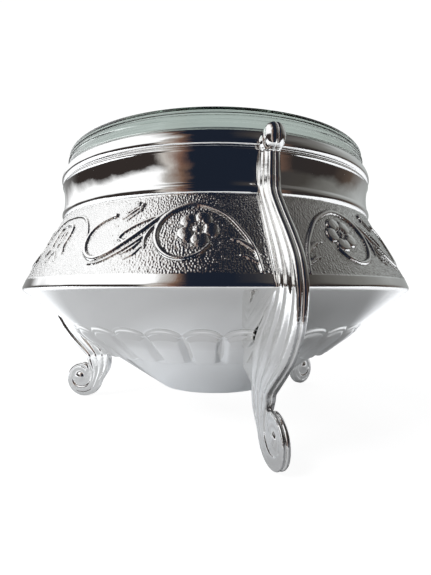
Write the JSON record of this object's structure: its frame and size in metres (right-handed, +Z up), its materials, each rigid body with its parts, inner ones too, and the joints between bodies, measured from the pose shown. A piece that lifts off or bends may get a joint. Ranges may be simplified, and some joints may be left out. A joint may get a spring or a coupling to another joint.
{
  "type": "footed bowl censer with glass liner",
  "caption": "Squat silver-plated open bowl on scroll legs, double-cone body with an ornament band and lobes, and a clear glass liner that lifts out.",
  "frame": {"origin": "on the floor plane under the bowl's axis, level with the flat pads of the feet", "axes": "+Z up along the bowl's axis, -Y towards the front leg, +X to the right seen from the front"},
  "size_m": [0.12, 0.1261, 0.0813],
  "materials": {
    "silver_plate": "bright polished silver plate over brass sheet",
    "silver_casting": "bright polished silver plate over cast alloy",
    "clear_glass": "clear pressed glass with a faint green tint",
    "screw_steel": "plain zinc-plated steel"
  },
  "bodies": {
    "bowl": {"upper_shell": "silver_plate", "lower_shell": "silver_plate", "front_leg_left_half": "silver_casting", "front_leg_right_half": "silver_casting", "right_leg_left_half": "silver_casting", "right_leg_right_half": "silver_casting", "left_leg_left_half": "silver_casting", "left_leg_right_half": "silver_casting", "leg_screws": "screw_steel", "screw_washers": "screw_steel"},
    "liner": {"glass_liner": "clear_glass"}
  },
  "joints": [
    {"name": "liner_lift", "type": "slide", "parent": "bowl", "child": "liner", "axis": [0, 0, 1], "range_m": [0, 0.06]}
  ]
}
